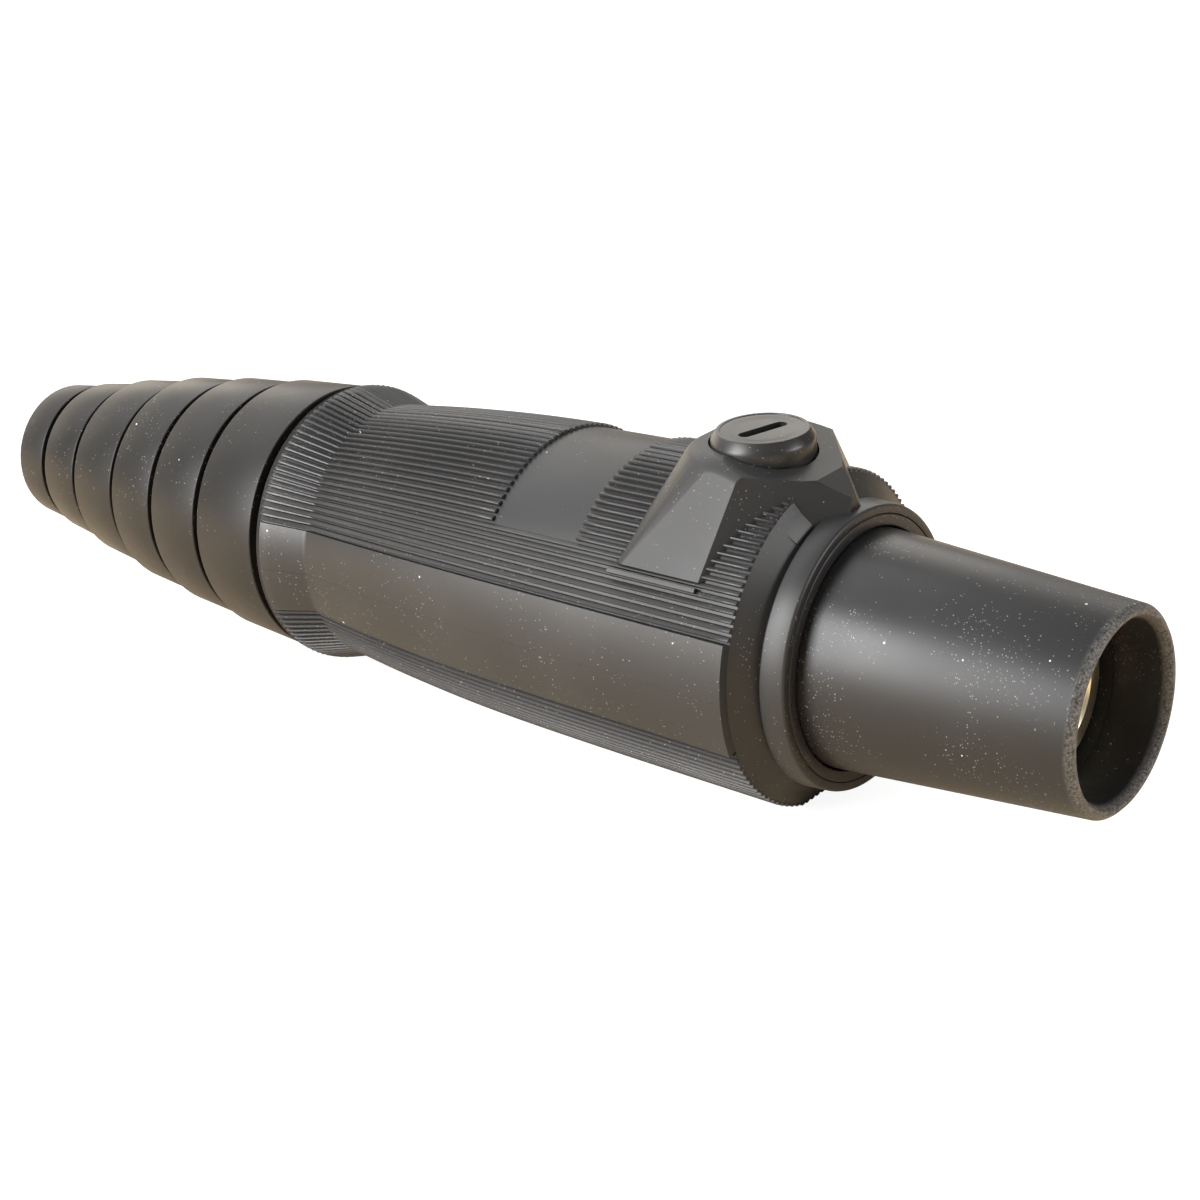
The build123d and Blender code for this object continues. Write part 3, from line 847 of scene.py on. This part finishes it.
class PLUG_OT_boss(Operator):
    """Boss around the retaining screw, with its ledges and the tabs beside its tip"""
    bl_idname = "plug.boss"
    bl_label = "Screw boss"

    # Planes along the roof, round a rear corner and in a rounding, and steps along a tab
    roof_strips = 16
    corner_walls = 13
    rounding_planes = 8
    tab_steps = 12
    # Least area of a roof face that stays flat, and the rounding of ledges and tabs
    strip_area = 2 * MM * MM
    small_round = 0.12 * MM

    def block(self, s):
        """Convex block, cut by the planes that touch its walls, its roof and its rounded edges."""
        rise = s.top - s.foot
        bm = cuboid((s.foot_rear - s.foot_tip, 2 * s.foot_half_width, rise))
        move(bm, at((s.foot_rear + s.foot_tip) / 2, 0, (s.top + s.foot) / 2))
        up = Vector((0, 0, 1))
        roof = self.roof_planes(s)
        for point, normal in roof:
            cut_away(bm, point, normal)
        front = (at(s.roof_end, 0, 0), Vector((1, 0, 0)))
        cut_away(bm, *front)
        round_between(bm, front, roof[-1], s.edge_round, 2)
        reach = s.corner - s.foot_tip
        facets = []
        for side in (-1, 1):
            for i in range(self.corner_walls):
                swing = pi / 2 * i / (self.corner_walls - 1)
                out = Vector((-sin(swing), side * cos(swing), 0))
                low = at(s.foot_rear - s.foot_round, side * (s.foot_half_width - s.foot_round), s.foot)
                high = at(s.top_rear - s.top_round, side * (s.top_half_width - s.top_round), s.top)
                low, high = low + out * s.foot_round, high + out * s.top_round
                wall = out * rise + up * (low - high).dot(out)
                cut_away(bm, high, wall)
                rounding = s.flank_round * cos(swing) ** 2 + s.rear_edge * sin(swing) ** 2
                round_between(bm, (high, up), (high, wall), rounding, self.rounding_planes)
                if not i:
                    flank = (high, wall)
                    for plane in roof:
                        round_between(bm, plane, flank, s.flank_round, self.rounding_planes)
            normal = Vector((1, side * reach / s.foot_half_width, (s.top_tip - s.foot_tip) / rise))
            facet = (at(s.foot_tip, 0, s.foot), normal)
            cut_away(bm, *facet)
            for plane in [flank, front] + roof:
                round_between(bm, plane, facet, s.edge_round, 2)
            facets.append(facet)
        round_between(bm, *facets, s.edge_round, 3)
        return bm

    def roof_planes(self, s):
        """Planes along the roof, which falls towards the nose along a curve through three places."""
        a, b, c = s.roof_start, s.roof_middle, s.roof_end
        places = [a + (c - a) * i / self.roof_strips for i in range(self.roof_strips + 1)]
        heights = [
            s.top * (place - b) * (place - c) / ((a - b) * (a - c))
            + s.roof_middle_height * (place - a) * (place - c) / ((b - a) * (b - c))
            + s.roof_end_height * (place - a) * (place - b) / ((c - a) * (c - b))
            for place in places
        ]
        points = [at(place, 0, height) for place, height in zip(places, heights)]
        return [
            (start, Vector((start.z - end.z, 0, end.x - start.x)))
            for start, end in zip(points, points[1:])
        ]

    def execute(self, context):
        settings = context.scene.power_plug
        s = settings.boss
        finish = settings.finish
        dust = 0.25 * finish.dust_amount
        rubber = moulded("boss_satin", finish.housing_rubber, finish.housing_roughness, dust)
        well = bmesh.new()
        depth = s.well_depth + 10 * MM
        radius = s.well_radius
        bmesh.ops.create_cone(
            well, cap_ends=True, segments=WELL_STEPS, radius1=radius, radius2=radius, depth=depth
        )
        move(well, (screw_x, 0, screw_high.z - s.well_depth + depth / 2))
        boss = make_cut_object(self.block(s), well, "housing_boss", rubber)
        for face in boss.data.polygons:
            if face.normal.z > 0.8 and face.area > self.strip_area:
                face.use_smooth = False
        flat_faces(boss)
        settle(boss, "plug_body", "housing")
        for name, side in (("left", -1), ("right", 1)):
            for piece in (self.ledge(settings, name, side, rubber), self.tab(settings, name, side, rubber)):
                flat_faces(piece)
                settle(piece, "plug_body", "housing")
        return {"FINISHED"}

    def ledge(self, settings, name, side, rubber):
        """Narrow ledge along the foot of a flank."""
        s = settings.boss
        crest = settings.housing.crest_radii[0]
        thickness = 1.5 * MM
        bm = cuboid((s.foot_rear - s.corner, s.ledge_width, thickness))
        round_off(bm, bm.edges[:], self.small_round, 2)
        out = crest + s.ledge_height - thickness / 2
        move(bm, (tip_x - (s.foot_rear + s.corner) / 2, 0, out))
        rotate(bm, -side * s.ledge_angle, "X")
        move(bm, (0, 0, axis_z))
        return make_object(bm, f"boss_ledge_{name}", rubber)

    def tab(self, settings, name, side, rubber):
        """Raised tab on the front cone, beside the boss's tip."""
        s, h = settings.boss, settings.housing
        groove_end = collar_face + h.collar_length + h.groove_width
        rear = h.body_front + 0.4 * MM
        low = h.groove_radius - 1 * MM
        high = h.crest_radii[0] - h.rib_depth
        corners = [
            (groove_end, h.groove_radius + s.tab_height),
            (rear, high + s.tab_height),
            (rear, low),
            (groove_end, low),
        ]
        bm = bmesh.new()
        verts = [bm.verts.new(at(back, 0, radius)) for back, radius in corners]
        edges = [bm.edges.new(pair) for pair in zip(verts[-1:] + verts, verts)]
        centre = at(0, 0, 0)
        rotate(bm, -side * s.tab_start, "X", centre)
        bmesh.ops.spin(
            bm, geom=verts + edges, cent=centre, axis=(-side, 0, 0), dvec=(0, 0, 0),
            angle=s.tab_end - s.tab_start, steps=self.tab_steps,
            use_merge=False, use_normal_flip=False, use_duplicate=False
        )
        bmesh.ops.holes_fill(bm, edges=[edge for edge in bm.edges if edge.is_boundary], sides=0)
        bmesh.ops.recalc_face_normals(bm, faces=bm.faces[:])
        sharp = [edge for edge in bm.edges if edge.calc_face_angle(0) > SHARP_ANGLE]
        round_off(bm, sharp, self.small_round, 2)
        return make_object(bm, f"boss_tab_{name}", rubber)


class PLUG_OT_screw(Operator):
    """Slotted head of the retaining screw, and its sealing washer"""
    bl_idname = "plug.screw"
    bl_label = "Retaining screw"

    def execute(self, context):
        settings = context.scene.power_plug
        s = settings.screw
        top = screw_high.z - axis_z
        tip = screw_low.z - axis_z
        outline = [
            (0.0, top - s.dish_depth, 0.0),
            (s.dish_radius, top - s.dish_depth, 0.6 * MM),
            (s.dish_radius + s.dish_slope, top - s.rim_height, 0.4 * MM),
            (s.top_radius - s.rim_width, top - s.rim_height, 0.0),
            (s.top_radius - s.rim_width + 0.05 * MM, top, 0.04 * MM),
            (s.top_radius, top, 0.12 * MM),
            (screw_head_radius, top - s.bevel, 0.4 * MM),
            (screw_head_radius, top - s.head_height, 0.2 * MM),
            (s.shank_radius, top - s.head_height, 0.1 * MM),
            (s.shank_radius, tip + 1 * MM, 0.1 * MM),
            (s.shank_radius - 1 * MM, tip, 0.1 * MM),
            (0.0, tip, 0.0),
        ]
        bm = bmesh.new()
        outline_wire(bm, outline, lambda radius, height: Vector((screw_x + radius, 0, axis_z + height)))
        middle = [
            edge for edge in bm.edges if all(abs(vert.co.x - screw_x) < HAIR for vert in edge.verts)
        ]
        bmesh.ops.delete(bm, geom=middle, context="EDGES_FACES")
        spin_full(bm, (screw_x, 0, 0), (0, 0, 1), SCREW_STEPS)
        finish = settings.finish
        nylon = moulded("screw_nylon", finish.screw_nylon, 0.32, dust=0.04, bump=0.02)
        slot = cuboid((s.slot_length, s.slot_width, 2 * s.slot_depth))
        upright = [
            edge for edge in slot.edges if abs(edge.verts[0].co.z - edge.verts[1].co.z) > s.slot_depth
        ]
        round_off(slot, upright, 0.45 * s.slot_width, 4)
        rotate(slot, s.slot_angle, "Z")
        move(slot, (screw_x, 0, screw_high.z - s.dish_depth))
        settle(make_cut_object(bm, slot, "screw_head", nylon), "screw", "retaining_screw")
        dress("screw_seal", moulded("washer_rubber", finish.housing_rubber, 0.5, dust=0.05))
        return {"FINISHED"}


class PLUG_OT_boot(Operator):
    """Stepped cable boot with trim rings"""
    bl_idname = "plug.boot"
    bl_label = "Cable boot"

    def outline(self, s):
        """Closed outline of the boot: its spigot, its rings and slits, and then its bores."""
        last = plug_length - 1 * MM
        outside = [(s.spigot_start, s.throat_radius, 0.0), (s.spigot_start, s.spigot_radius, 0.3 * MM)]
        start, valley = housing_end + s.flange_slit, s.spigot_radius
        before = bpy.context.scene.power_plug.housing.flange_radius
        for rear, radius in zip(s.ring_rears, s.ring_radii):
            outside += [
                (start, valley, 0.0),
                (start, radius + s.draft * (before - radius), s.edge),
                (rear, radius, s.edge),
            ]
            before = radius
            valley = radius - s.slit_depth
            if rear < last:
                outside.append((rear, valley, 0.0))
            start = rear + s.ring_slit
        start = housing_end + s.flange_slit
        inside = [(start, s.throat_radius, 0.0)]
        for rear, bore in zip(s.ring_rears, s.ring_bores):
            inside += [(start, bore, 0.0), (rear, bore, 0.3 * MM if rear > last else 0.0)]
            start = rear
        return outside + inside[::-1]

    def execute(self, context):
        settings = context.scene.power_plug
        finish = settings.finish
        bm = lathe(self.outline(settings.boot))
        rubber = moulded("boot_satin", finish.boot_rubber, 0.44, dust=0.32 * finish.dust_amount, ior=1.4)
        settle(make_object(bm, "boot_rings", rubber), "plug_body", "cable_boot")
        return {"FINISHED"}


class PLUG_OT_stage(Operator):
    """Floor, soft studio light and the camera"""
    bl_idname = "plug.stage"
    bl_label = "Stage"

    def softbox(self, name, place, size, power, tint=(1, 1, 1), target=(0, 0, 0.03)):
        """Rectangular lamp that looks at a target."""
        light = bpy.data.lights.new(name, "AREA")
        light.shape = "RECTANGLE"
        light.size, light.size_y = size
        light.energy = power
        light.color = tint
        lamp = bpy.data.objects.new(name, light)
        lamp.location = place
        lamp.rotation_euler = (Vector(target) - Vector(place)).to_track_quat("-Z", "Y").to_euler()
        bpy.context.scene.collection.objects.link(lamp)

    def floor(self, s):
        """Floor that the camera sees as white with the plug's shadow, and the plug as pale."""
        material = bpy.data.materials.new("pale_floor")
        tree = empty_tree(material)
        plain = put(tree, "ShaderNodeBsdfDiffuse", {"Color": (*s.floor, 1.0)})
        bright = put(tree, "ShaderNodeEmission", {"Color": (*s.backdrop, 1.0), "Strength": s.floor_glow})
        shade = s.floor_shade
        shadowed = put(tree, "ShaderNodeBsdfDiffuse", {"Color": (shade, shade, shade, 1.0)})
        seen = put(tree, "ShaderNodeAddShader", {0: bright.outputs[0], 1: shadowed.outputs[0]})
        rays = put(tree, "ShaderNodeLightPath")
        camera_ray = rays.outputs["Is Camera Ray"]
        mix = put(tree, "ShaderNodeMixShader", {0: camera_ray, 1: plain.outputs[0], 2: seen.outputs[0]})
        put(tree, "ShaderNodeOutputMaterial", {0: mix.outputs[0]})
        bm = bmesh.new()
        bmesh.ops.create_grid(bm, x_segments=1, y_segments=1, size=s.floor_reach)
        floor = make_object(bm, "floor", material)

    def execute(self, context):
        scene = context.scene
        s = scene.power_plug.stage
        self.floor(s)
        nose = (0.05, 0, 0.03)
        self.softbox("key_softbox", (-0.42, -0.92, 0.49), (0.5, 0.8), s.key_power)
        self.softbox("top_softbox", (-0.6, 0.05, 0.8), (0.8, 0.8), s.top_power)
        self.softbox("rear_panel", (-0.5, 0.9, 0.6), (1.3, 0.6), s.back_power, (1.0, 0.95, 0.88))
        self.softbox("side_panel", (-1.1, 0.3, 0.2), (0.9, 0.4), s.side_power, (1.0, 0.88, 0.72))
        self.softbox("front_softbox", (0.95, 0.32, 0.375), (0.5, 0.35), s.front_power, target=nose)
        world = bpy.data.worlds.new("studio")
        tree = empty_tree(world)
        rays = put(tree, "ShaderNodeLightPath")
        room = put(tree, "ShaderNodeBackground", {"Color": (1.0, 0.98, 0.95, 1.0), "Strength": s.surround})
        white = put(tree, "ShaderNodeBackground", {"Color": (*s.backdrop, 1.0), "Strength": 1.0})
        camera_ray = rays.outputs["Is Camera Ray"]
        mix = put(tree, "ShaderNodeMixShader", {0: camera_ray, 1: room.outputs[0], 2: white.outputs[0]})
        put(tree, "ShaderNodeOutputWorld", {0: mix.outputs[0]})
        scene.world = world
        camera_data = bpy.data.cameras.new("photo_camera")
        camera_data.lens = s.lens
        camera_data.sensor_width = 36.0
        camera_data.clip_start = 0.01
        camera = bpy.data.objects.new("photo_camera", camera_data)
        camera.matrix_world = Matrix.Translation(s.camera_place) @ Euler(s.camera_turn).to_matrix().to_4x4()
        scene.collection.objects.link(camera)
        scene.camera = camera
        scene.view_settings.view_transform = "Standard"
        return {"FINISHED"}


class PLUG_PT_builder(Panel):
    """Buttons for the plug's pieces"""
    bl_idname = "PLUG_PT_builder"
    bl_label = "Power Plug"
    bl_space_type = "VIEW_3D"
    bl_region_type = "UI"
    bl_category = "Power Plug"

    def draw(self, context):
        column = self.layout.column(align=True)
        for operator in piece_operators:
            column.operator(operator.bl_idname)
        finish = context.scene.power_plug.finish
        box = self.layout.box()
        for name in ("housing_rubber", "boot_rubber", "nose_plastic", "brass", "dust", "dust_amount"):
            box.prop(finish, name)


piece_operators = [
    PLUG_OT_nose,
    PLUG_OT_seal,
    PLUG_OT_metal,
    PLUG_OT_housing,
    PLUG_OT_boss,
    PLUG_OT_screw,
    PLUG_OT_boot,
    PLUG_OT_stage,
]
property_groups = [
    NoseSizes, HousingSizes, BossSizes, ScrewSizes, BootSizes, FinishSettings, StageSettings, PlugSettings
]
classes = property_groups + piece_operators + [PLUG_PT_builder]


def register():
    for cls in classes:
        bpy.utils.register_class(cls)
    bpy.types.Scene.power_plug = PointerProperty(type=PlugSettings)


def unregister():
    del bpy.types.Scene.power_plug
    for cls in reversed(classes):
        bpy.utils.unregister_class(cls)


def main():
    register()
    bpy.ops.plug.nose()
    bpy.ops.plug.seal()
    bpy.ops.plug.metal()
    bpy.ops.plug.housing()
    bpy.ops.plug.boss()
    bpy.ops.plug.screw()
    bpy.ops.plug.boot()
    bpy.ops.plug.stage()


if __name__ == "__main__":
    main()
